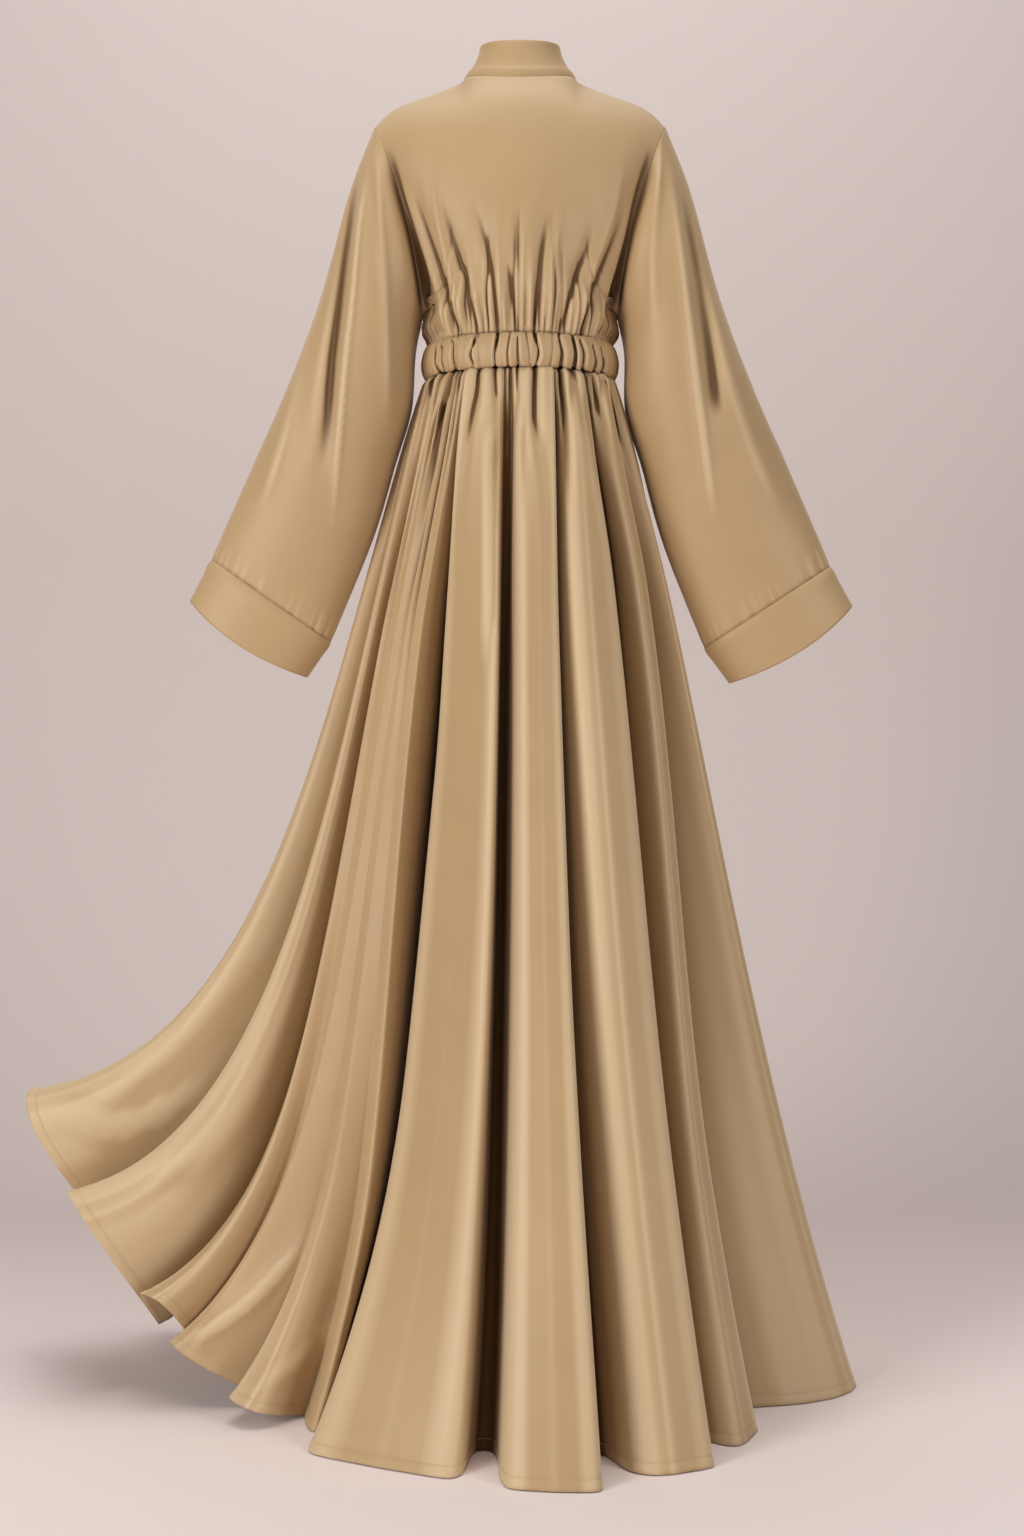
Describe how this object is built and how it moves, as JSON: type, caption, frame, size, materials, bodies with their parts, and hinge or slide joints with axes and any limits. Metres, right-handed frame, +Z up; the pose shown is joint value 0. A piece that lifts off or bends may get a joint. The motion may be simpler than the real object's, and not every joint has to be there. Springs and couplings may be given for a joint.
{
  "type": "abaya cloak",
  "caption": "Floor-length camel abaya cloak with a stand collar, gathered elastic waist, wide cuffed sleeves and a full skirt swept out into a train on its left.",
  "frame": {"origin": "base of the neck on the shoulder line, in the mid plane, where the wearer's shoulders hold the garment up", "axes": "+Z up, the front faces -Y, the back faces +Y, the wearer's left and the lifted train are at +X"},
  "size_m": [0.9787, 0.7516, 1.5648],
  "materials": {
    "camel_crepe": "smooth crepe with a soft satin sheen",
    "camel_crepe_faced": "the same crepe, doubled and pressed"
  },
  "bodies": {
    "root": {"collar": "camel_crepe_faced", "bodice_back": "camel_crepe", "bodice_front_left": "camel_crepe", "bodice_front_right": "camel_crepe", "sleeve_left": "camel_crepe", "sleeve_right": "camel_crepe", "cuff_left": "camel_crepe_faced", "cuff_right": "camel_crepe_faced", "waist_casing": "camel_crepe", "skirt_back": "camel_crepe", "skirt_front_left": "camel_crepe", "skirt_front_right": "camel_crepe"}
  },
  "joints": []
}
